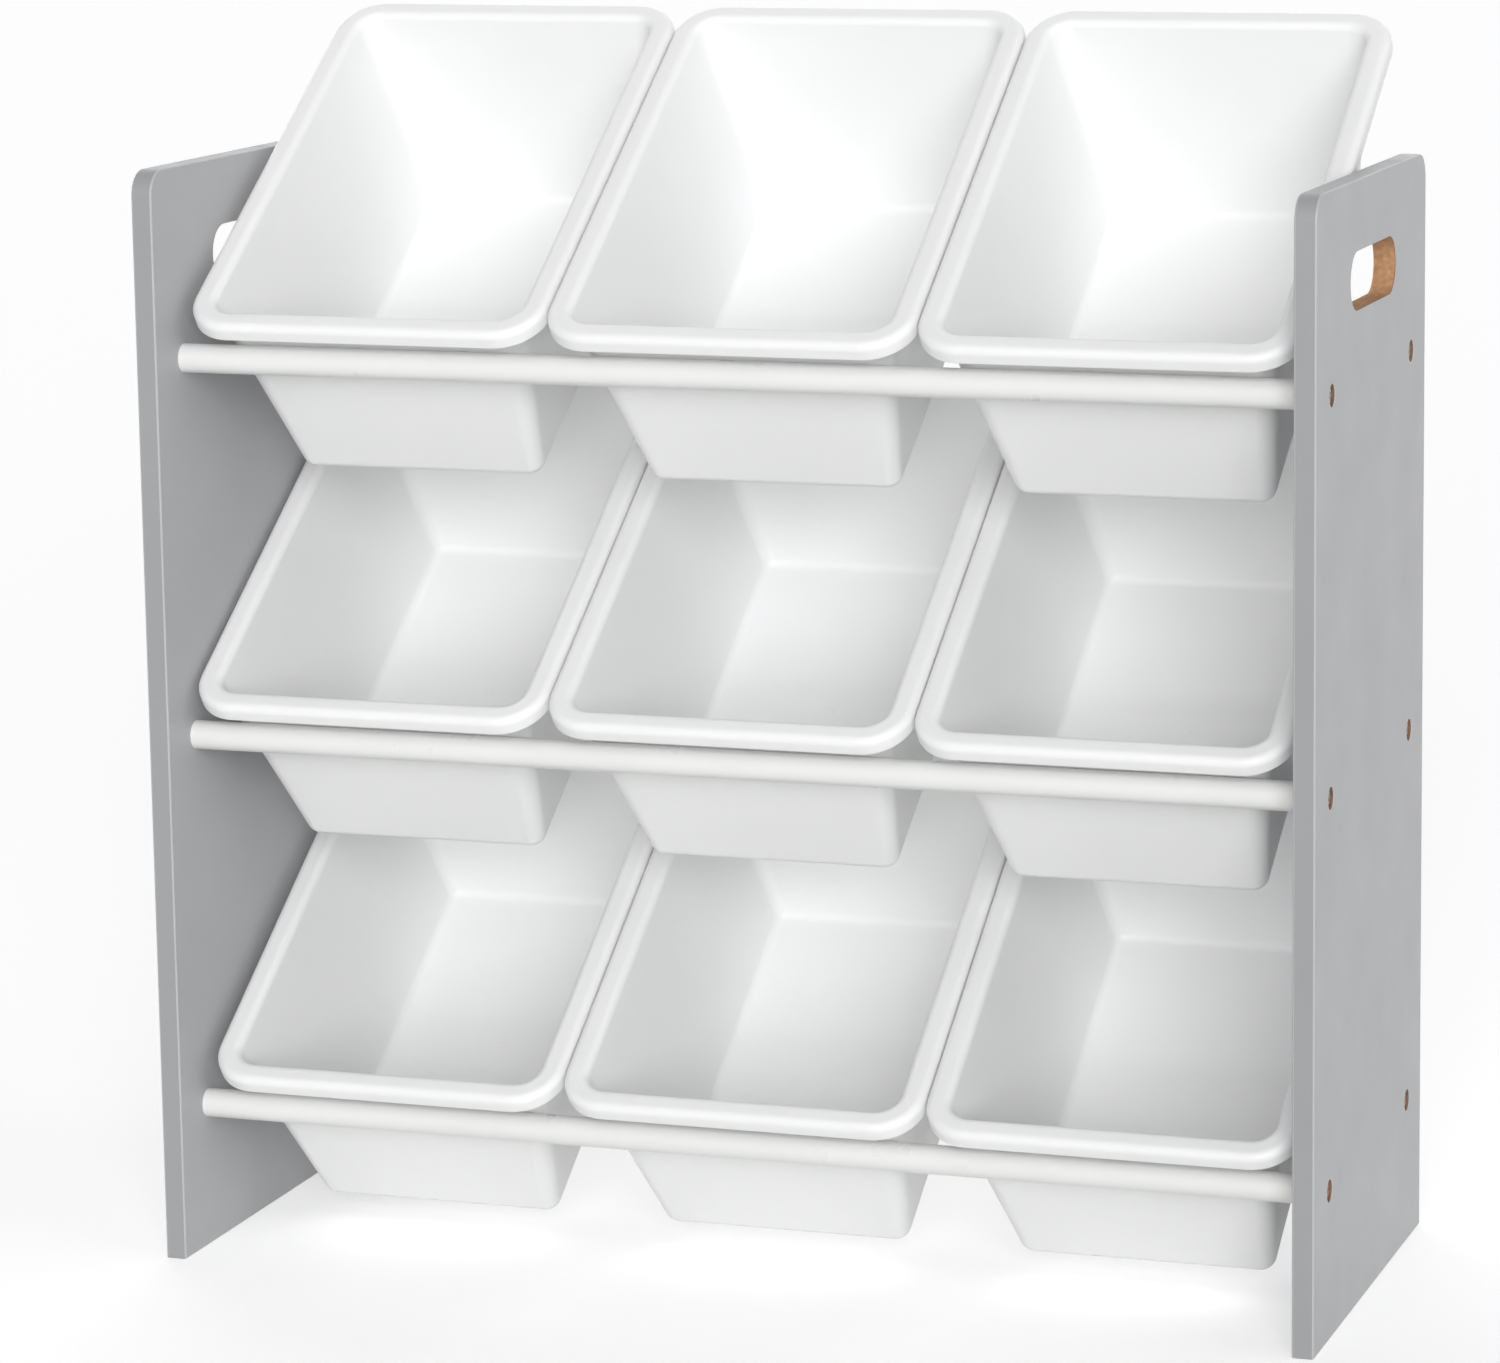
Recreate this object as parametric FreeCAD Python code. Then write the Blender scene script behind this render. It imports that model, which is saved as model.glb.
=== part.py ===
import FreeCAD, Part
import math
import os

# Toy storage organizer: two side panels joined by three pairs of tubes, with
# nine moulded bins that hang tilted on the tubes, three to a row.
# Millimetres, +X to the right, +Y to the back, +Z up. The origin is on the
# floor, halfway between the panels, and halfway from the panels' front edges
# to the back of the bins.

# Side panels
PANEL_THICKNESS = 12.0
PANEL_DEPTH = 254.0
PANEL_HEIGHT = 605.0
PANEL_CORNER = 14.0         # radius of the two upper corners
PANEL_EASING = 1.0          # bevel of the painted edges
CLEAR_WIDTH = 630.0         # between the panels' inner faces
HANDLE_LENGTH = 107.0
HANDLE_HEIGHT = 33.0
HANDLE_DROP = 36.0          # from the panel's top to the hand hole

# Tubes
TUBE_DIAMETER = 16.0
TUBE_WALL = 1.0
TUBE_SETBACK = 34.5         # tube axis behind the front edge, and before the rear one
LOWEST_TUBE = 81.0          # height of the bottom row's two tubes
ROW_PITCH = 209.5
ROW_NAMES = ("bottom", "middle", "top")

# Threaded plugs in the tube ends, and the screws that pull the panels onto them
PLUG_LENGTH = 20.0
PLUG_FIT = 0.05             # radial, plug in tube
SCREW_DIAMETER = 6.0
SCREW_LENGTH = 22.0         # under the head
THREAD_FIT = 0.05           # radial, screw in plug
SCREW_HOLE_FIT = 0.25       # radial, screw through the panel
HEAD_DIAMETER = 10.6
HEAD_HEIGHT = 3.0
HEAD_CHEEK = 1.8            # height of the head's upright side
HEAD_CROWN = 7.0            # diameter of the flat on top of the head
SOCKET_WIDTH = 4.0          # across the flats
SOCKET_DEPTH = 1.8
SOCKET_FLATS = 6
RECESS_DIAMETER = 12.0
RECESS_DEPTH = 4.5
SMALL_ROUND_FLATS = 10      # flats round each bore, plug, screw and screw hole

# Bins, measured square to their own rim
BIN_LENGTH = 288.0
BIN_HEIGHT = 124.0          # from the rim's top to the floor's underside
BIN_WALL = 1.6
BIN_TILT = 34.0             # degrees, front down
BIN_SPACING = 1.0           # between neighbouring rims
PANEL_GAP = 5.0             # from a centred row's end rims to the panels
SEAT_GAP = 0.3              # bin to tube
FRONT_DRAFT = 5.0           # degrees, lean of each wall
SIDE_DRAFT = 9.3
BACK_DRAFT = 8.0
RIM_REACH = 11.8            # rim's outer edge beyond the wall's outer face
RIM_DROP = 10.0             # height of the turned-down lip
RIM_ROLL = 4.5              # outer radius where the rim turns down
RIM_WALL = 1.6
RIM_CORNER = 26.0
MOUTH_ROLL = 4.0            # upper radius where the rim turns into the walls
FLOOR_CORNER = 8.0          # upright corners, where they meet the floor
FLOOR_ROUNDING = 6.0        # outside, where the walls turn into the floor
CORNER_FLATS = 4            # flats round each upright corner
ROLL_FLATS = 3              # flats across the rim's roll
TURN_FLATS = 2              # flats across each smaller turn of the skin
COLUMN_NAMES = ("left", "middle", "right")
BIN_PITCH = (CLEAR_WIDTH - 2 * PANEL_GAP + BIN_SPACING) / len(COLUMN_NAMES)
BIN_WIDTH = BIN_PITCH - BIN_SPACING
ROW_SHIFT = {"bottom": 2.4, "middle": -2.0, "top": 1.9}     # each row along its tubes

TUBE_RADIUS = TUBE_DIAMETER / 2
TUBE_SPAN = PANEL_DEPTH - 2 * TUBE_SETBACK
RIGHT = FreeCAD.Vector(1, 0, 0)


def slope(degrees):
    return math.tan(math.radians(degrees))


# ---------------------------------------------------------------- bins

def ring(offset, depth, leaning):
    """Corners of a level outline round a bin, at a depth under the rim's top.

    The offset is measured from the rim's outer edge as if the walls stood
    upright; leaning ones then draw in with depth, by their drafts."""
    lean = depth if leaning else 0.0
    half = BIN_WIDTH / 2 - offset - lean * slope(SIDE_DRAFT)
    front = offset + lean * slope(FRONT_DRAFT)
    rear = BIN_LENGTH - offset - lean * slope(BACK_DRAFT)
    narrowing = (RIM_CORNER - RIM_REACH - FLOOR_CORNER) / BIN_HEIGHT
    radius = RIM_CORNER - offset - lean * narrowing
    centres = (
        (half - radius, rear - radius),
        (radius - half, rear - radius),
        (radius - half, front + radius),
        (half - radius, front + radius),
    )
    points = []
    for quarter, (x, y) in enumerate(centres):
        for flat in range(CORNER_FLATS + 1):
            angle = math.radians(90 * (quarter + flat / CORNER_FLATS))
            corner = FreeCAD.Vector(math.cos(angle), math.sin(angle), 0) * radius
            points.append(corner + FreeCAD.Vector(x, y, -depth))
    return points


def turn(radius, flats):
    """Quarter turn as (sideways, down) from its level start to its upright end."""
    steps = []
    for flat in range(flats + 1):
        angle = math.radians(90 * flat / flats)
        steps.append((radius * math.sin(angle), radius * (1 - math.cos(angle))))
    return steps


def floor_turn(offset, depth, radius):
    """Offsets and depths where a floor at a depth turns up into a wall at an offset."""
    steps = turn(radius, TURN_FLATS)
    return [(offset + radius - sideways, depth - down) for sideways, down in steps]


def skin_sections():
    """The bin's skin as (offset, depth, leaning), from its inside floor to its underside.

    It climbs the walls' inner faces, rolls out over the rim to the lip, and
    goes back under the rim and down the walls' outer faces."""
    inner_wall = RIM_REACH + BIN_WALL
    inside = floor_turn(inner_wall, BIN_HEIGHT - BIN_WALL, FLOOR_ROUNDING - BIN_WALL)
    for sideways, down in reversed(turn(MOUTH_ROLL, TURN_FLATS)):
        inside.append((inner_wall - MOUTH_ROLL + sideways, down))
    rim = [(RIM_ROLL - sideways, down) for sideways, down in turn(RIM_ROLL, ROLL_FLATS)]
    rim += [(0.0, RIM_DROP), (RIM_WALL, RIM_DROP)]
    for sideways, down in reversed(turn(RIM_ROLL - RIM_WALL, TURN_FLATS)):
        rim.append((RIM_ROLL - sideways, RIM_WALL + down))
    flare = MOUTH_ROLL - BIN_WALL
    outside = [(RIM_REACH - flare + sideways, RIM_WALL + down) for sideways, down in turn(flare, 1)]
    outside += reversed(floor_turn(RIM_REACH, BIN_HEIGHT, FLOOR_ROUNDING))
    leaning = [(offset, depth, True) for offset, depth in inside]
    leaning += [(offset, depth, False) for offset, depth in rim]
    return leaning + [(offset, depth, True) for offset, depth in outside]


def flat_face(points):
    return Part.Face(Part.makePolygon(points + points[:1]))


def moulded_bin():
    """One bin, level, with the middle of its rim's front edge at the origin."""
    rings = [ring(*section) for section in skin_sections()]
    faces = [flat_face(rings[0]), flat_face(rings[-1])]
    for near, far in zip(rings, rings[1:]):
        for corner in range(len(near)):
            faces.append(flat_face([near[corner - 1], near[corner], far[corner], far[corner - 1]]))
    skin = Part.makeShell(faces)
    skin.sewShape()
    return Part.makeSolid(skin)


def seat_offset():
    """Where a front tube's axis lies in a level bin's own frame.

    The floor lies on the rear tube and the front wall leans on the front one."""
    rest = TUBE_RADIUS + SEAT_GAP
    tilt = math.radians(BIN_TILT)
    depth = BIN_HEIGHT + rest - TUBE_SPAN * math.sin(tilt)
    wall = RIM_REACH + depth * slope(FRONT_DRAFT)
    return FreeCAD.Vector(0, wall - rest / math.cos(math.radians(FRONT_DRAFT)), -depth)


def overall_depth():
    """From the panels' front edges to the rearmost point of the tilted bins."""
    tilt = math.radians(BIN_TILT)
    tube = seat_offset()
    ahead = 0.0
    for section in skin_sections():
        for corner in ring(*section):
            level = corner - tube
            ahead = max(ahead, level.y * math.cos(tilt) - level.z * math.sin(tilt))
    return max(PANEL_DEPTH, TUBE_SETBACK + ahead)


PANEL_FRONT = -overall_depth() / 2
FRONT_TUBE = PANEL_FRONT + TUBE_SETBACK
REAR_TUBE = FRONT_TUBE + TUBE_SPAN


def row_height(row):
    return LOWEST_TUBE + row * ROW_PITCH


def seated_bin(level_bin, row, column):
    """A copy of the bin, tilted and laid on one row's tubes."""
    middle = (len(COLUMN_NAMES) - 1) / 2
    x = (column - middle) * BIN_PITCH + ROW_SHIFT[ROW_NAMES[row]]
    placed = level_bin.copy()
    placed.translate(seat_offset() * -1)
    placed.rotate(FreeCAD.Vector(0, 0, 0), RIGHT, BIN_TILT)
    placed.translate(FreeCAD.Vector(x, FRONT_TUBE, row_height(row)))
    return placed


# ---------------------------------------------------------------- frame

def tube_axes():
    """Y and Z of the six tube axes, from the bottom row up."""
    return [(y, row_height(row)) for row in range(len(ROW_NAMES)) for y in (FRONT_TUBE, REAR_TUBE)]


def panel_board():
    """Side panel without its holes, inner face at x = 0, with bevelled edges."""
    corner = FreeCAD.Vector(0, PANEL_FRONT, 0)
    board = Part.makeBox(PANEL_THICKNESS, PANEL_DEPTH, PANEL_HEIGHT, corner)
    near = 0.01
    upper = []
    for edge in board.Edges:
        if edge.BoundBox.ZMin > PANEL_HEIGHT - near and edge.BoundBox.YLength < near:
            upper.append(edge)
    board = board.makeFillet(PANEL_CORNER, upper)
    outline = []
    for edge in board.Edges:
        if edge.BoundBox.XLength < near and edge.BoundBox.ZMax > near:
            outline.append(edge)
    return board.makeChamfer(PANEL_EASING, outline)


def hand_hole():
    """Cutter for the round-ended hand hole, right through the panel."""
    centre_y = PANEL_FRONT + PANEL_DEPTH / 2
    centre_z = PANEL_HEIGHT - HANDLE_DROP - HANDLE_HEIGHT / 2
    radius = HANDLE_HEIGHT / 2
    reach = HANDLE_LENGTH / 2 - radius
    corner = FreeCAD.Vector(0, centre_y - reach, centre_z - radius)
    slot = Part.makeBox(PANEL_THICKNESS, 2 * reach, HANDLE_HEIGHT, corner)
    for side in (-1, 1):
        centre = FreeCAD.Vector(0, centre_y + side * reach, centre_z)
        slot = slot.fuse(Part.makeCylinder(radius, PANEL_THICKNESS, centre, RIGHT))
    return slot.removeSplitter()


def small_outline(x, y, z, radius, flats=SMALL_ROUND_FLATS):
    """Closed outline round an axis along X."""
    points = []
    for flat in range(flats + 1):
        angle = math.radians(360 * flat / flats)
        points.append(FreeCAD.Vector(x, y + radius * math.cos(angle), z + radius * math.sin(angle)))
    return Part.makePolygon(points)


def small_bar(start, end, y, z, radius, flats=SMALL_ROUND_FLATS):
    """Small round bar along X."""
    return Part.Face(small_outline(start, y, z, radius, flats)).extrude(RIGHT * (end - start))


def to_side(shape, side):
    """Move a shape from x = 0 to one panel's inner face, with +X outwards."""
    if side < 0:
        shape = shape.mirror(FreeCAD.Vector(0, 0, 0), RIGHT)
    shape.translate(RIGHT * (side * CLEAR_WIDTH / 2))
    return shape


def side_panel(side):
    """Side panel, outer face towards side (-1 left, +1 right)."""
    board = panel_board().cut(hand_hole())
    for y, z in tube_axes():
        seat = PANEL_THICKNESS - RECESS_DEPTH
        board = board.cut(small_bar(0, seat, y, z, SCREW_DIAMETER / 2 + SCREW_HOLE_FIT))
        board = board.cut(small_bar(seat, PANEL_THICKNESS, y, z, RECESS_DIAMETER / 2))
    return to_side(board, side)


def tube(y, z):
    start = FreeCAD.Vector(-CLEAR_WIDTH / 2, y, z)
    outside = Part.makeCylinder(TUBE_RADIUS, CLEAR_WIDTH, start, RIGHT)
    bore = small_bar(-CLEAR_WIDTH / 2, CLEAR_WIDTH / 2, y, z, TUBE_RADIUS - TUBE_WALL)
    return outside.cut(bore)


def tube_plug(y, z, side):
    """Threaded plug, flush with the tube's end."""
    body = small_bar(-PLUG_LENGTH, 0, y, z, TUBE_RADIUS - TUBE_WALL - PLUG_FIT)
    bore = small_bar(-PLUG_LENGTH, 0, y, z, SCREW_DIAMETER / 2 + THREAD_FIT)
    return to_side(body.cut(bore), side)


def panel_screw(y, z, side):
    """Button-head socket screw, its head seated in the panel's recess."""
    seat = PANEL_THICKNESS - RECESS_DEPTH
    crown = seat + HEAD_HEIGHT
    shank = small_bar(seat - SCREW_LENGTH, seat, y, z, SCREW_DIAMETER / 2)
    outlines = [
        small_outline(seat, y, z, HEAD_DIAMETER / 2),
        small_outline(seat + HEAD_CHEEK, y, z, HEAD_DIAMETER / 2),
        small_outline(crown, y, z, HEAD_CROWN / 2),
    ]
    head = Part.makeLoft(outlines, True, True)
    socket_radius = SOCKET_WIDTH / 2 / math.cos(math.pi / SOCKET_FLATS)
    socket = small_bar(crown - SOCKET_DEPTH, crown, y, z, socket_radius, SOCKET_FLATS)
    return to_side(shank.fuse(head).cut(socket).removeSplitter(), side)


# ---------------------------------------------------------------- assembly

def build():
    nodes = {}
    for name, side in (("left", -1), ("right", 1)):
        nodes[name + "_side_panel"] = side_panel(side)
        plugs = [tube_plug(y, z, side) for y, z in tube_axes()]
        nodes[name + "_tube_plugs"] = Part.makeCompound(plugs)
        screws = [panel_screw(y, z, side) for y, z in tube_axes()]
        nodes[name + "_panel_screws"] = Part.makeCompound(screws)
    level_bin = moulded_bin()
    for row, row_name in enumerate(ROW_NAMES):
        nodes["front_tube_" + row_name] = tube(FRONT_TUBE, row_height(row))
        nodes["rear_tube_" + row_name] = tube(REAR_TUBE, row_height(row))
        for column, column_name in enumerate(COLUMN_NAMES):
            nodes["bin_" + row_name + "_" + column_name] = seated_bin(level_bin, row, column)
    return nodes


os.makedirs("parts", exist_ok=True)
for node, shape in build().items():
    shape.exportStep("parts/" + node + ".step")
    solids = len(shape.Solids)
    print(node, "valid" if shape.isValid() else "NOT VALID", solids, "solids", round(shape.Volume), "mm3")
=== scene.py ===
import math

import bmesh
import bpy
from mathutils import Matrix, Vector
from mathutils.geometry import tessellate_polygon


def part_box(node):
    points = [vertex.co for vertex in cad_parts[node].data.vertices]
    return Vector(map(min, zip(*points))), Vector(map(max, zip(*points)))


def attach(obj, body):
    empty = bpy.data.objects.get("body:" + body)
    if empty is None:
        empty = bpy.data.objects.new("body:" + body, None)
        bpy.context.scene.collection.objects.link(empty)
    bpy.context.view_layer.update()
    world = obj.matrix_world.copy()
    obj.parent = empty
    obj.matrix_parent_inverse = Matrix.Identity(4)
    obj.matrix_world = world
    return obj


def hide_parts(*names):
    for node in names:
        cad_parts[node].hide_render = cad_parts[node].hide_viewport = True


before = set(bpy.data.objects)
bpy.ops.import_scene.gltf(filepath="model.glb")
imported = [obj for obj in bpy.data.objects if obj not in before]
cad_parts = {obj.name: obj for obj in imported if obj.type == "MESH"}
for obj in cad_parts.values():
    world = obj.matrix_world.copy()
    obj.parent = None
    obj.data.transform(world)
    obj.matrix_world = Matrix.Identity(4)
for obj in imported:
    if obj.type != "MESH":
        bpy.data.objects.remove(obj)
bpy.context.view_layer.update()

# Metres and degrees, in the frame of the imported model: +X right, +Y back, +Z up,
# with the origin on the floor.
MM = 0.001

# Moulded bins, square to their own rim
BIN_WIDTH = 206.0 * MM
BIN_LENGTH = 288.0 * MM
BIN_HEIGHT = 124.0 * MM     # from the rim's top to the floor's underside
BIN_WALL = 1.6 * MM
BIN_TILT = 34.0             # degrees, front down
FRONT_DRAFT = 5.0           # degrees, lean of each wall
SIDE_DRAFT = 9.3
BACK_DRAFT = 8.0
RIM_REACH = 11.8 * MM       # rim's outer edge beyond the wall's outer face
RIM_DROP = 10.0 * MM        # height of the turned-down lip
RIM_ROLL = 4.5 * MM
RIM_WALL = 1.6 * MM
RIM_CORNER = 26.0 * MM
MOUTH_ROLL = 4.0 * MM
FLOOR_CORNER = 8.0 * MM
FLOOR_ROUNDING = 6.0 * MM
LIP_EASING = 0.5 * MM
GATE_DIAMETER = 7.0 * MM    # moulding mark in the floor
GATE_HEIGHT = 0.4 * MM
CORNER_STEPS = 14           # quads round each upright corner
SIDE_STEPS = 8              # quads along each straight side
ROLL_STEPS = 10             # quads across each roll
WALL_STEPS = 8              # quads down each wall
FLOOR_STEPS = 6             # quads from the floor's edge to its middle
LIP_STEPS = 3               # quads across each rounded edge of the lip
GATE_PROFILE = ((1.0, 0.6), (0.95, 0.9), (0.85, 1.0))   # shares of its radius and height

# Side panels
PANEL_THICKNESS = 12.0 * MM
PANEL_DEPTH = 254.0 * MM
PANEL_HEIGHT = 605.0 * MM
PANEL_CORNER = 14.0 * MM    # radius of the two upper corners
PANEL_EASING = 1.0 * MM
HANDLE_LENGTH = 107.0 * MM
HANDLE_HEIGHT = 33.0 * MM
HANDLE_DROP = 36.0 * MM     # from the panel's top to the hand hole
RECESS_DIAMETER = 12.0 * MM
RECESS_DEPTH = 4.5 * MM
RECESS_EASING = 0.3 * MM
HOLE_DIAMETER = 6.5 * MM
EASING_STEPS = 5
PANEL_CORNER_STEPS = 12
HANDLE_STEPS = 32           # quads round each end of the hand hole
RECESS_STEPS = 48

# Screws, one at each tube end
TUBE_SETBACK = 34.5 * MM
LOWEST_TUBE = 81.0 * MM
ROW_PITCH = 209.5 * MM
ROWS = 3
SCREW_DIAMETER = 6.0 * MM
SCREW_LENGTH = 22.0 * MM
THREAD_PITCH = 1.0 * MM
THREAD_DEPTH = 0.45 * MM
HEAD_DIAMETER = 10.6 * MM
HEAD_HEIGHT = 3.0 * MM
HEAD_CHEEK = 1.8 * MM       # height of the head's upright side
HEAD_CROWN = 7.0 * MM       # diameter of the flat on top of the head
SOCKET_WIDTH = 4.0 * MM     # across the flats
SOCKET_DEPTH = 1.8 * MM
HEX = 6
SCREW_STEPS = 48            # quads round each screw, a multiple of six
CROWN_STEPS = 8
SHARP_ANGLE = 40.0          # degrees, edges sharper than this stay crisp

# Finishes
NOISE_LOW = 0.3             # noise below and above these counts as the darkest and lightest
NOISE_HIGH = 0.7
GLOSS_PATCHES = 3           # patches of gloss to each patch of colour
BIN_SCATTER = 0.3           # share of light that enters the bins' plastic
FLOOR_WHITE = 0.9
FLOOR_ROUGHNESS = 0.9

# Light
WORLD_LIGHT = 0.28
KEY_STRENGTH = 0.50
KEY_ELEVATION = 20.0
KEY_AZIMUTH = 85.0          # degrees to the right of straight in front
KEY_SOFTNESS = 50.0
FILL_STRENGTH = 2.30
FILL_ELEVATION = 13.0
FILL_AZIMUTH = 19.0
FILL_SOFTNESS = 36.0
BACK_STRENGTH = 1.3
BACK_ELEVATION = 20.0
BACK_AZIMUTH = 205.0
BACK_SOFTNESS = 60.0
FLOOR_LIFT = 0.40           # white seen by the camera on top of the lit floor
FLOOR_SIZE = 40.0

# Camera, as the photograph was taken
PHOTO_WIDTH = 1500
PHOTO_HEIGHT = 1363
CAMERA_PLACE = (0.9397, -2.5574, 0.8630)    # from the middle of the panels' front edges, on the floor
CAMERA_YAW = 17.721         # degrees to the left of straight ahead
CAMERA_PITCH = 9.430         # degrees down
CAMERA_ROLL = 0.534
FOCAL_PIXELS = 5261.9
CENTRE_PIXEL = (930.6, 550.5)
SENSOR_WIDTH = 36.0
CAMERA_REACH = 100.0


# ------------------------------------------------------------------ helpers

def tan(degrees):
    return math.tan(math.radians(degrees))


def new_material(name):
    material = bpy.data.materials.new(name)
    material.use_nodes = True
    nodes = material.node_tree.nodes
    return material, nodes, material.node_tree.links, nodes["Principled BSDF"]


def noise(nodes, links, scale, detail=3.0, stretch=(1.0, 1.0, 1.0)):
    """Noise in the piece's own coordinates, different on each piece."""
    place = nodes.new("ShaderNodeTexCoord")
    shape = nodes.new("ShaderNodeMapping")
    which = nodes.new("ShaderNodeObjectInfo")
    texture = nodes.new("ShaderNodeTexNoise")
    texture.noise_dimensions = "4D"
    shape.inputs["Scale"].default_value = stretch
    texture.inputs["Scale"].default_value = scale
    texture.inputs["Detail"].default_value = detail
    links.new(place.outputs["Object"], shape.inputs["Vector"])
    links.new(shape.outputs["Vector"], texture.inputs["Vector"])
    links.new(which.outputs["Random"], texture.inputs["W"])
    return texture.outputs["Fac"]


def vary_colour(nodes, links, factor, dark, light, socket):
    ramp = nodes.new("ShaderNodeValToRGB")
    ramp.color_ramp.elements[0].position = NOISE_LOW
    ramp.color_ramp.elements[1].position = NOISE_HIGH
    ramp.color_ramp.elements[0].color = (*dark, 1.0)
    ramp.color_ramp.elements[1].color = (*light, 1.0)
    links.new(factor, ramp.inputs["Fac"])
    links.new(ramp.outputs["Color"], socket)


def vary_number(nodes, links, factor, low, high, socket):
    span = nodes.new("ShaderNodeMapRange")
    span.inputs["From Min"].default_value = NOISE_LOW
    span.inputs["From Max"].default_value = NOISE_HIGH
    span.inputs["To Min"].default_value = low
    span.inputs["To Max"].default_value = high
    links.new(factor, span.inputs["Value"])
    links.new(span.outputs["Result"], socket)


def roughen(nodes, links, factor, height, strength, socket):
    bump = nodes.new("ShaderNodeBump")
    bump.inputs["Distance"].default_value = height
    bump.inputs["Strength"].default_value = strength
    links.new(factor, bump.inputs["Height"])
    links.new(bump.outputs["Normal"], socket)


def surface(name, dark, light, patches, roughness, grain, height, strength=0.5, stretch=(1.0, 1.0, 1.0)):
    """A finish with soft patches of colour and gloss, and a fine relief."""
    material, nodes, links, shader = new_material(name)
    vary_colour(nodes, links, noise(nodes, links, patches), dark, light, shader.inputs["Base Color"])
    gloss = noise(nodes, links, patches * GLOSS_PATCHES)
    vary_number(nodes, links, gloss, *roughness, shader.inputs["Roughness"])
    relief = noise(nodes, links, grain, 4.0, stretch)
    roughen(nodes, links, relief, height, strength, shader.inputs["Normal"])
    return material, shader


def dress(node_name, material):
    """Gives a CAD piece another finish."""
    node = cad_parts[node_name]
    node.data.materials.clear()
    node.data.materials.append(material)


# ------------------------------------------------------------------ materials

def bin_plastic():
    light = (0.915, 0.917, 0.920)
    dark = (0.900, 0.903, 0.907)
    material, shader = surface("bin_plastic", dark, light, 12.0, (0.36, 0.46), 900.0, 0.05 * MM, 0.25)
    shader.inputs["Subsurface Weight"].default_value = BIN_SCATTER
    shader.inputs["Subsurface Radius"].default_value = (1.0, 1.0, 1.0)
    shader.inputs["Subsurface Scale"].default_value = 3.0 * MM
    return material


def panel_paint():
    light = (0.470, 0.474, 0.484)
    dark = (0.460, 0.464, 0.474)
    return surface("panel_paint", dark, light, 9.0, (0.42, 0.56), 700.0, 0.08 * MM, 0.3)[0]


def shaded_edge_paint():
    # Paint on the boards' outer edges, darker than on the faces: painted shade standing in for the lesser
    # light the edges get.
    light = (0.335, 0.339, 0.347)
    dark = (0.322, 0.326, 0.335)
    return surface("shaded_edge_paint", dark, light, 20.0, (0.5, 0.62), 900.0, 0.08 * MM, 0.4)[0]


def raw_board():
    light = (0.60, 0.36, 0.19)
    dark = (0.42, 0.22, 0.11)
    stretch = (1.0, 1.0, 0.25)
    return surface("raw_board", dark, light, 300.0, (0.8, 0.95), 1500.0, 0.2 * MM, 0.7, stretch)[0]


def drilled_board_and_shade():
    # Bare board in the screw recesses and bores, much darker than the hand hole's raw board: partly the bare
    # board's own colour, partly painted shade of the recesses.
    light = (0.26, 0.15, 0.09)
    dark = (0.16, 0.09, 0.06)
    return surface("drilled_board_and_shade", dark, light, 400.0, (0.8, 0.95), 2000.0, 0.15 * MM, 0.7)[0]


def tube_paint():
    light = (0.83, 0.83, 0.82)
    dark = (0.80, 0.80, 0.79)
    return surface("tube_paint", dark, light, 14.0, (0.27, 0.32), 900.0, 0.03 * MM, 0.15)[0]


def screw_steel():
    light = (0.78, 0.78, 0.79)
    dark = (0.66, 0.66, 0.67)
    material, shader = surface("screw_steel", dark, light, 250.0, (0.2, 0.34), 2000.0, 0.03 * MM, 0.4)
    shader.inputs["Metallic"].default_value = 1.0
    return material


def plug_plastic():
    light = (0.035, 0.035, 0.035)
    dark = (0.02, 0.02, 0.02)
    return surface("plug_plastic", dark, light, 120.0, (0.45, 0.6), 1500.0, 0.05 * MM, 0.4)[0]


# ------------------------------------------------------------------ bins

def turn(radius, steps):
    """Quarter turn as (sideways, down) from its level start to its upright end."""
    points = []
    for step in range(steps + 1):
        angle = math.radians(90 * step / steps)
        points.append((radius * math.sin(angle), radius * (1 - math.cos(angle))))
    return points


def floor_turn(offset, depth, radius):
    """Where a floor at a depth turns up into a wall at an offset."""
    return [(offset + radius - sideways, depth - down) for sideways, down in turn(radius, ROLL_STEPS)]


def walled(lower, upper):
    """The lower turn, the wall's steps, and the upper turn, each as (offset, depth)."""
    points = list(lower)
    start, end = lower[-1], upper[0]
    for step in range(1, WALL_STEPS):
        share = step / WALL_STEPS
        points.append((start[0] + (end[0] - start[0]) * share, start[1] + (end[1] - start[1]) * share))
    return points + list(upper)


def skin_sections():
    """The bin's skin as (offset, depth, leaning), from its inside floor to its underside."""
    inner_wall = RIM_REACH + BIN_WALL
    inside_floor = floor_turn(inner_wall, BIN_HEIGHT - BIN_WALL, FLOOR_ROUNDING - BIN_WALL)
    mouth = []
    for sideways, down in reversed(turn(MOUTH_ROLL, ROLL_STEPS)):
        mouth.append((inner_wall - MOUTH_ROLL + sideways, down))
    inside = walled(inside_floor, mouth)
    rim = [(RIM_ROLL - sideways, down) for sideways, down in turn(RIM_ROLL, ROLL_STEPS)]
    for sideways, down in reversed(turn(LIP_EASING, LIP_STEPS)):
        rim.append((LIP_EASING - sideways, RIM_DROP - down))
    for sideways, down in turn(LIP_EASING, LIP_STEPS):
        rim.append((RIM_WALL - LIP_EASING + sideways, RIM_DROP - down))
    for sideways, down in reversed(turn(RIM_ROLL - RIM_WALL, ROLL_STEPS)):
        rim.append((RIM_ROLL - sideways, RIM_WALL + down))
    flare = MOUTH_ROLL - BIN_WALL
    under = []
    for sideways, down in turn(flare, ROLL_STEPS // 2):
        under.append((RIM_REACH - flare + sideways, RIM_WALL + down))
    foot = list(reversed(floor_turn(RIM_REACH, BIN_HEIGHT, FLOOR_ROUNDING)))
    outside = walled(under, foot)
    sections = [(offset, depth, True) for offset, depth in inside]
    sections += [(offset, depth, False) for offset, depth in rim]
    return sections + [(offset, depth, True) for offset, depth in outside]


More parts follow.
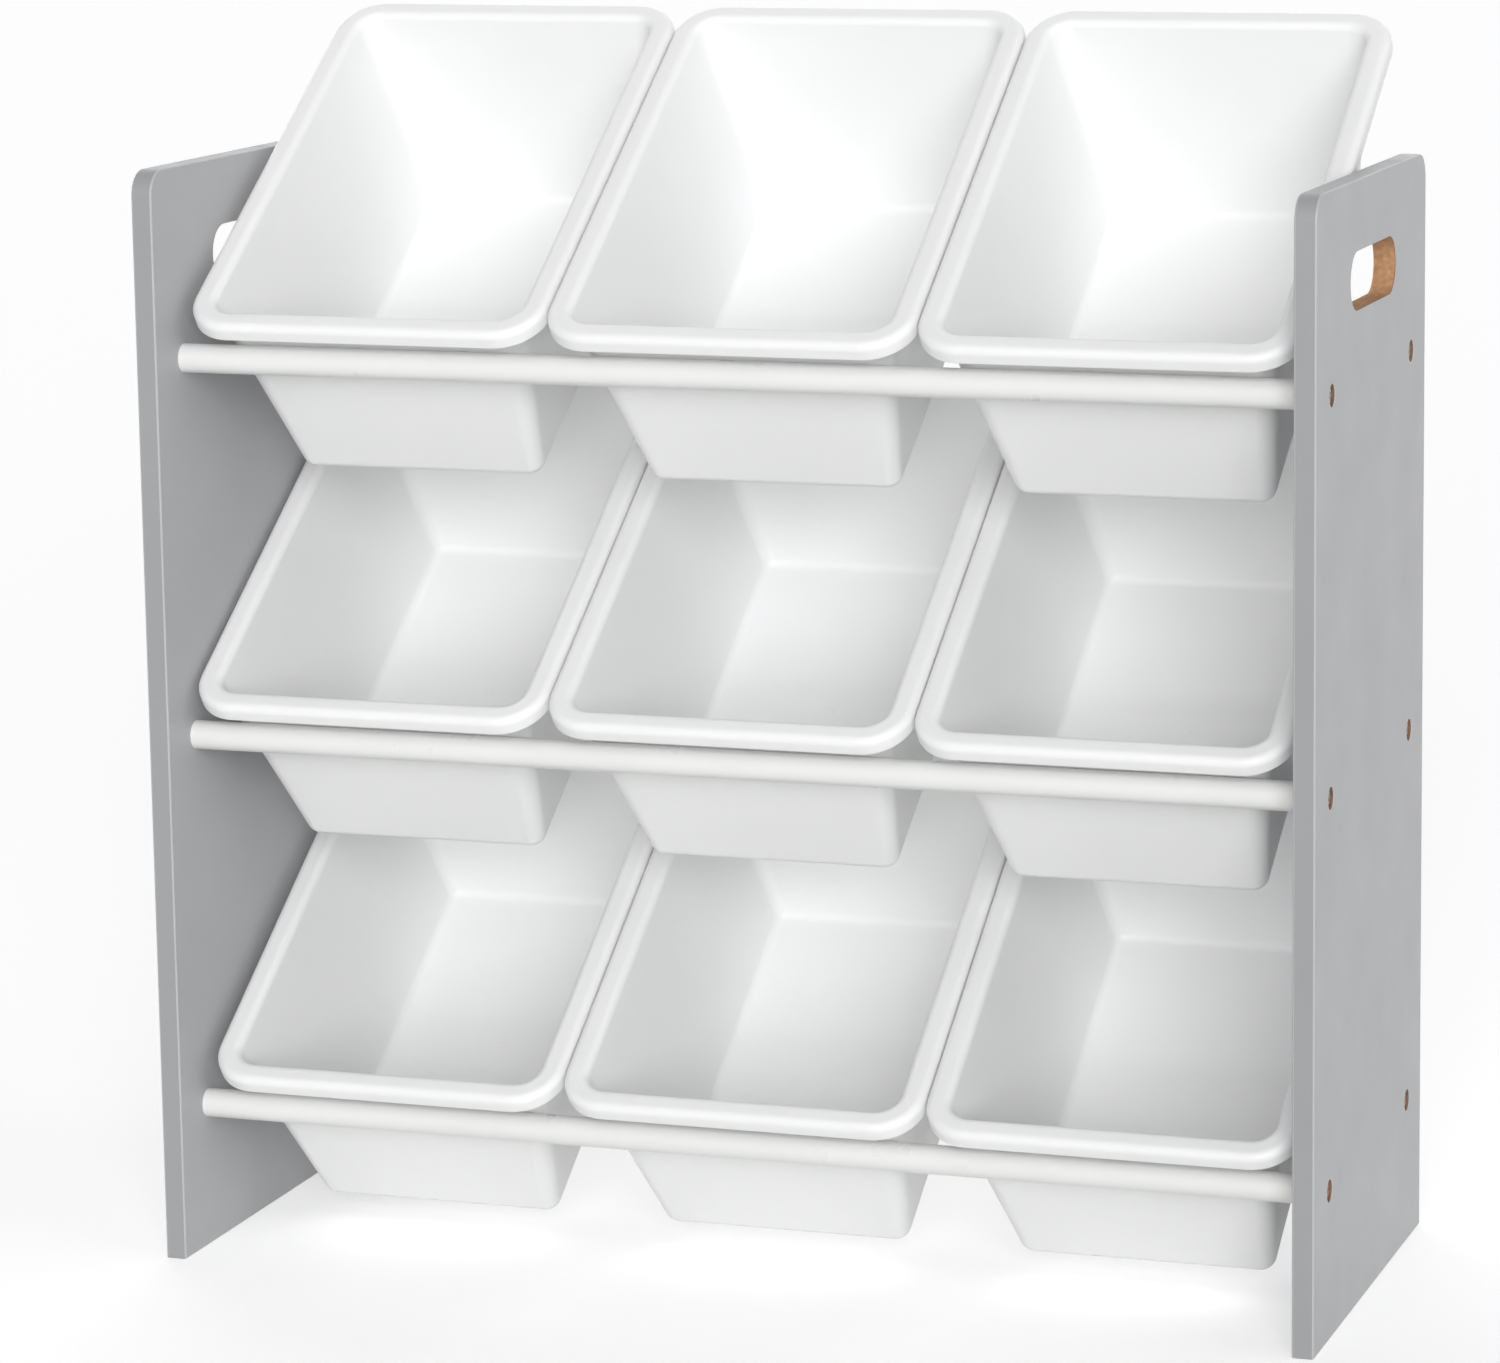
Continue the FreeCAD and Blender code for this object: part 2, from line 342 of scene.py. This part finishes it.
def skin_ring(offset, depth, leaning):
    """Closed level outline round the bin; leaning walls draw in with depth."""
    lean = depth if leaning else 0.0
    half = BIN_WIDTH / 2 - offset - lean * tan(SIDE_DRAFT)
    front = offset + lean * tan(FRONT_DRAFT)
    rear = BIN_LENGTH - offset - lean * tan(BACK_DRAFT)
    narrowing = (RIM_CORNER - RIM_REACH - FLOOR_CORNER) / BIN_HEIGHT
    radius = RIM_CORNER - offset - lean * narrowing
    centres = (
        (half - radius, rear - radius),
        (radius - half, rear - radius),
        (radius - half, front + radius),
        (half - radius, front + radius),
    )
    corners = []
    for quarter, (x, y) in enumerate(centres):
        corner = []
        for step in range(CORNER_STEPS + 1):
            angle = math.radians(90 * (quarter + step / CORNER_STEPS))
            corner.append(Vector((x + radius * math.cos(angle), y + radius * math.sin(angle), -depth)))
        corners.append(corner)
    points = []
    for index, corner in enumerate(corners):
        points += corner
        following = corners[(index + 1) % len(corners)][0]
        for step in range(1, SIDE_STEPS):
            points.append(corner[-1].lerp(following, step / SIDE_STEPS))
    return points


def bridge(mesh, rings):
    """Quads between neighbouring rings of vertices."""
    faces = []
    for one, other in zip(rings, rings[1:]):
        for index in range(len(one)):
            after = (index + 1) % len(one)
            faces.append(mesh.faces.new((one[index], one[after], other[after], other[index])))
    return faces


def rings_of(mesh, outlines):
    return [[mesh.verts.new(point) for point in outline] for outline in outlines]


def floor_patch(mesh, edge, radius):
    """Rings of vertices from the floor's edge in to a round disc at its middle."""
    middle = sum((vertex.co for vertex in edge), Vector()) / len(edge)
    rings = [edge]
    for step in range(1, FLOOR_STEPS + 1):
        outline = []
        for vertex in edge:
            spoke = (vertex.co - middle).normalized() * radius
            outline.append(vertex.co.lerp(middle + spoke, step / FLOOR_STEPS))
        rings += rings_of(mesh, [outline])
    return rings, middle


def finish_mesh(mesh, name, materials):
    bmesh.ops.recalc_face_normals(mesh, faces=mesh.faces)
    data = bpy.data.meshes.new(name)
    mesh.to_mesh(data)
    mesh.free()
    data.shade_smooth()
    for material in materials:
        data.materials.append(material)
    return data


def add_piece(data, place, node_name, body):
    """Puts a piece in the scene in the place of a CAD node."""
    piece = bpy.data.objects.new("dressed_" + node_name, data)
    piece.location = place
    bpy.context.scene.collection.objects.link(piece)
    weighted = piece.modifiers.new("weighted_normals", "WEIGHTED_NORMAL")
    weighted.keep_sharp = True
    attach(piece, body)
    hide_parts(node_name)


def bin_mesh(material):
    """The moulded bin, tilted as it sits on the tubes.

    Its origin is halfway across, at the height and depth of its rear rim's extremes."""
    mesh = bmesh.new()
    rings = rings_of(mesh, [skin_ring(*section) for section in skin_sections()])
    bridge(mesh, rings)
    inside, middle = floor_patch(mesh, rings[0], GATE_DIAMETER / 2)
    raised = []
    for share, height in GATE_PROFILE:
        up = Vector((0, 0, GATE_HEIGHT * height))
        raised.append([middle + (vertex.co - middle) * share + up for vertex in inside[-1]])
    raised = rings_of(mesh, raised)
    bridge(mesh, inside + raised)
    mesh.faces.new(raised[-1])
    beneath, middle = floor_patch(mesh, rings[-1], GATE_DIAMETER / 2)
    bridge(mesh, beneath)
    mesh.faces.new(beneath[-1])
    bmesh.ops.transform(mesh, matrix=Matrix.Rotation(math.radians(BIN_TILT), 4, "X"), verts=mesh.verts)
    rear = max(vertex.co.y for vertex in mesh.verts)
    top = max(vertex.co.z for vertex in mesh.verts)
    bmesh.ops.translate(mesh, vec=Vector((0.0, -rear, -top)), verts=mesh.verts)
    return finish_mesh(mesh, "moulded_bin", [material])


def place_bin(node_name, data):
    low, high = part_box(node_name)
    place = Vector(((low.x + high.x) / 2, high.y, high.z))
    add_piece(data, place, node_name, node_name)


# ------------------------------------------------------------------ side panels

def board_outline(x, inset):
    """Upright outline of a panel: square below, rounded above."""
    low, high = inset, PANEL_HEIGHT - inset
    front, rear = inset, PANEL_DEPTH - inset
    radius = PANEL_CORNER - inset
    points = [Vector((x, front, low)), Vector((x, rear, low))]
    for y, start in ((rear - radius, 0), (front + radius, 90)):
        for step in range(PANEL_CORNER_STEPS + 1):
            angle = math.radians(start + 90 * step / PANEL_CORNER_STEPS)
            points.append(Vector((x, y + radius * math.cos(angle), high - radius + radius * math.sin(angle))))
    return points


def slot_outline(x, grow):
    """Outline of the hand hole, round at both ends."""
    radius = HANDLE_HEIGHT / 2 + grow
    reach = (HANDLE_LENGTH - HANDLE_HEIGHT) / 2
    middle = PANEL_HEIGHT - HANDLE_DROP - HANDLE_HEIGHT / 2
    points = []
    for side, start in ((1, -90), (-1, 90)):
        for step in range(HANDLE_STEPS + 1):
            angle = math.radians(start + 180 * step / HANDLE_STEPS)
            y = PANEL_DEPTH / 2 + side * reach + radius * math.cos(angle)
            points.append(Vector((x, y, middle + radius * math.sin(angle))))
    return points


def round_outline(x, y, z, radius, steps):
    points = []
    for step in range(steps):
        angle = math.radians(360 * step / steps)
        points.append(Vector((x, y + radius * math.cos(angle), z + radius * math.sin(angle))))
    return points


def screw_axes():
    """Y and Z of the six screws, from the panel's front edge and foot."""
    axes = []
    for row in range(ROWS):
        for y in (TUBE_SETBACK, PANEL_DEPTH - TUBE_SETBACK):
            axes.append((y, LOWEST_TUBE + row * ROW_PITCH))
    return axes


def eased(outline, from_inset):
    """Rings across the board's thickness, from inner to outer face, with rounded edges."""
    rings = []
    for side in (0, 1):
        for step in range(EASING_STEPS + 1):
            angle = math.radians(90 * (step if side == 0 else EASING_STEPS - step) / EASING_STEPS)
            across = PANEL_EASING * (1 - math.cos(angle))
            away = PANEL_EASING * (1 - math.sin(angle))
            if side == 1:
                across = PANEL_THICKNESS - across
            rings.append(outline(across, away * from_inset))
    return rings


def fill(mesh, loops):
    """Flat face with holes, from closed loops of vertices."""
    flat = [vertex for loop in loops for vertex in loop]
    outlines = [[vertex.co for vertex in loop] for loop in loops]
    for triple in tessellate_polygon(outlines):
        mesh.faces.new([flat[index] for index in triple])


def panel_mesh(side, materials):
    """Side panel with its inner face at x = 0 and its front edge at y = 0."""
    mesh = bmesh.new()
    outer = rings_of(mesh, eased(board_outline, 1))
    slot = rings_of(mesh, eased(slot_outline, -1))
    edge = bridge(mesh, outer[EASING_STEPS:EASING_STEPS + 2])
    bridge(mesh, outer[:EASING_STEPS + 1])
    bridge(mesh, outer[EASING_STEPS + 1:])
    raw = bridge(mesh, slot)
    shaded_bore_walls = []
    inner_loops = [outer[0], slot[0]]
    outer_loops = [outer[-1], slot[-1]]
    for y, z in screw_axes():
        bore = HOLE_DIAMETER / 2
        recess = RECESS_DIAMETER / 2
        seat = PANEL_THICKNESS - RECESS_DEPTH
        sizes = ((0.0, bore), (seat, bore), (seat, recess))
        sizes += ((PANEL_THICKNESS - RECESS_EASING, recess), (PANEL_THICKNESS, recess + RECESS_EASING))
        rings = rings_of(mesh, [round_outline(x, y, z, radius, RECESS_STEPS) for x, radius in sizes])
        shaded_bore_walls += bridge(mesh, rings[:4])
        bridge(mesh, rings[3:])
        inner_loops.append(rings[0])
        outer_loops.append(rings[-1])
    fill(mesh, inner_loops)
    fill(mesh, outer_loops)
    for face in raw:
        face.material_index = 1
    # The band round the outline takes the edge paint, darkened as painted shade.
    for face in edge:
        face.material_index = 2
    # The bore and recess walls take the drilled board, darkened partly as painted shade.
    for face in shaded_bore_walls:
        face.material_index = 3
    for vertex in mesh.verts:
        vertex.co.x *= side
    return finish_mesh(mesh, "side_panel", materials)


def sharpen(data, degrees):
    """Marks edges sharper than an angle, so that faces meet crisply there."""
    mesh = bmesh.new()
    mesh.from_mesh(data)
    for edge in mesh.edges:
        if len(edge.link_faces) == 2 and edge.calc_face_angle(0.0) > math.radians(degrees):
            edge.smooth = False
    mesh.to_mesh(data)
    mesh.free()


def inner_corner(side_name):
    """Inner face, front edge and foot of a panel."""
    low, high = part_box(side_name + "_side_panel")
    return Vector((low.x if side_name == "right" else high.x, low.y, low.z))


def place_panel(side_name, materials):
    side = 1 if side_name == "right" else -1
    data = panel_mesh(side, materials)
    sharpen(data, SHARP_ANGLE)
    add_piece(data, inner_corner(side_name), side_name + "_side_panel", "frame")


# ------------------------------------------------------------------ screws

def screw_sections():
    """Screw as (x, radius) from its tip to the crown, x = 0 under the head."""
    root = SCREW_DIAMETER / 2 - THREAD_DEPTH
    points = [(-SCREW_LENGTH, root)]
    turns = int(SCREW_LENGTH / THREAD_PITCH) - 1
    for index in range(turns):
        start = -SCREW_LENGTH + (index + 0.5) * THREAD_PITCH
        points += [(start, root), (start + THREAD_PITCH / 2, SCREW_DIAMETER / 2)]
    points += [(0.0, root), (0.0, HEAD_DIAMETER / 2), (HEAD_CHEEK, HEAD_DIAMETER / 2)]
    drop = HEAD_HEIGHT - HEAD_CHEEK
    draw = (HEAD_DIAMETER - HEAD_CROWN) / 2
    for step in range(1, CROWN_STEPS + 1):
        angle = math.radians(90 * step / CROWN_STEPS)
        points.append((HEAD_CHEEK + drop * math.sin(angle), HEAD_CROWN / 2 + draw * math.cos(angle)))
    return points


def hex_outline(x, y, z):
    """Hexagon with as many points as the round rings, so that they can be bridged."""
    points = []
    for step in range(SCREW_STEPS):
        angle = 2 * math.pi * step / SCREW_STEPS
        within = (angle + math.pi / HEX) % (2 * math.pi / HEX) - math.pi / HEX
        radius = SOCKET_WIDTH / 2 / math.cos(within)
        points.append(Vector((x, y + radius * math.cos(angle), z + radius * math.sin(angle))))
    return points


def screws_mesh(side, steel):
    mesh = bmesh.new()
    seat = PANEL_THICKNESS - RECESS_DEPTH
    for y, z in screw_axes():
        outlines = [round_outline(seat + x, y, z, radius, SCREW_STEPS) for x, radius in screw_sections()]
        crown = seat + HEAD_HEIGHT
        outlines += [hex_outline(crown, y, z), hex_outline(crown - SOCKET_DEPTH, y, z)]
        rings = rings_of(mesh, outlines)
        bridge(mesh, rings)
        mesh.faces.new(rings[0])
        mesh.faces.new(rings[-1])
    for vertex in mesh.verts:
        vertex.co.x *= side
    return finish_mesh(mesh, "panel_screws", [steel])


def place_screws(side_name, steel):
    side = 1 if side_name == "right" else -1
    data = screws_mesh(side, steel)
    sharpen(data, SHARP_ANGLE)
    add_piece(data, inner_corner(side_name), side_name + "_panel_screws", "frame")


# ------------------------------------------------------------------ floor, lights, camera

def seen(nodes, links):
    """1 for what the camera sees, directly, mirrored or through a clear piece."""
    path = nodes.new("ShaderNodeLightPath")
    total = path.outputs["Is Camera Ray"]
    for name in ("Is Glossy Ray", "Is Transmission Ray"):
        add = nodes.new("ShaderNodeMath")
        add.operation = "ADD"
        add.use_clamp = True
        links.new(total, add.inputs[0])
        links.new(path.outputs[name], add.inputs[1])
        total = add.outputs["Value"]
    return total


def floor():
    bpy.ops.mesh.primitive_plane_add(size=FLOOR_SIZE)
    plane = bpy.context.object
    plane.name = "floor"
    material, nodes, links, shader = new_material("floor_white")
    shader.inputs["Base Color"].default_value = (FLOOR_WHITE, FLOOR_WHITE, FLOOR_WHITE, 1.0)
    shader.inputs["Roughness"].default_value = FLOOR_ROUGHNESS
    shader.inputs["Specular IOR Level"].default_value = 0.0
    shader.inputs["Emission Color"].default_value = (1.0, 1.0, 1.0, 1.0)
    span = nodes.new("ShaderNodeMapRange")
    span.inputs["To Max"].default_value = FLOOR_LIFT
    links.new(seen(nodes, links), span.inputs["Value"])
    links.new(span.outputs["Result"], shader.inputs["Emission Strength"])
    plane.data.materials.append(material)


def soft_sun(name, strength, azimuth, elevation, softness):
    data = bpy.data.lights.new(name, "SUN")
    data.energy = strength
    data.angle = math.radians(softness)
    lamp = bpy.data.objects.new(name, data)
    bpy.context.scene.collection.objects.link(lamp)
    turn_side = Matrix.Rotation(math.radians(azimuth), 4, "Z")
    tip = Matrix.Rotation(math.radians(90.0 - elevation), 4, "X")
    lamp.rotation_euler = (turn_side @ tip).to_euler()


def studio():
    world = bpy.data.worlds.new("studio")
    bpy.context.scene.world = world
    world.use_nodes = True
    nodes = world.node_tree.nodes
    links = world.node_tree.links
    background = nodes["Background"]
    background.inputs["Color"].default_value = (1.0, 1.0, 1.0, 1.0)
    span = nodes.new("ShaderNodeMapRange")
    span.inputs["To Min"].default_value = WORLD_LIGHT
    span.inputs["To Max"].default_value = 1.0
    links.new(seen(nodes, links), span.inputs["Value"])
    links.new(span.outputs["Result"], background.inputs["Strength"])
    soft_sun("key", KEY_STRENGTH, KEY_AZIMUTH, KEY_ELEVATION, KEY_SOFTNESS)
    soft_sun("fill", FILL_STRENGTH, FILL_AZIMUTH, FILL_ELEVATION, FILL_SOFTNESS)
    soft_sun("back", BACK_STRENGTH, BACK_AZIMUTH, BACK_ELEVATION, BACK_SOFTNESS)


def camera():
    """The photograph's camera: a long lens, shifted so that uprights stay nearly upright."""
    data = bpy.data.cameras.new("camera")
    eye = bpy.data.objects.new("camera", data)
    bpy.context.scene.collection.objects.link(eye)
    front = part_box("left_side_panel")[0].y
    eye.location = Vector(CAMERA_PLACE) + Vector((0.0, front, 0.0))
    turn = Matrix.Rotation(math.radians(CAMERA_YAW), 4, "Z")
    lean = Matrix.Rotation(math.radians(90.0 - CAMERA_PITCH), 4, "X")
    roll = Matrix.Rotation(math.radians(-CAMERA_ROLL), 4, "Z")
    eye.rotation_euler = (turn @ lean @ roll).to_euler()
    data.sensor_width = SENSOR_WIDTH
    data.lens = FOCAL_PIXELS / PHOTO_WIDTH * SENSOR_WIDTH
    data.shift_x = (PHOTO_WIDTH / 2 - CENTRE_PIXEL[0]) / PHOTO_WIDTH
    data.shift_y = (CENTRE_PIXEL[1] - PHOTO_HEIGHT / 2) / PHOTO_WIDTH
    data.clip_end = CAMERA_REACH
    bpy.context.scene.camera = eye


panel_materials = [panel_paint(), raw_board(), shaded_edge_paint(), drilled_board_and_shade()]
tube_white = tube_paint()
steel = screw_steel()
nylon = plug_plastic()
bins = bin_mesh(bin_plastic())
for side_name in ("left", "right"):
    place_panel(side_name, panel_materials)
    place_screws(side_name, steel)
    dress(side_name + "_tube_plugs", nylon)
for node_name in list(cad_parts):
    if node_name.startswith("bin"):
        place_bin(node_name, bins)
    elif "_tube_" in node_name and "plugs" not in node_name:
        dress(node_name, tube_white)

floor()
studio()
camera()
bpy.context.scene.view_settings.view_transform = "Standard"
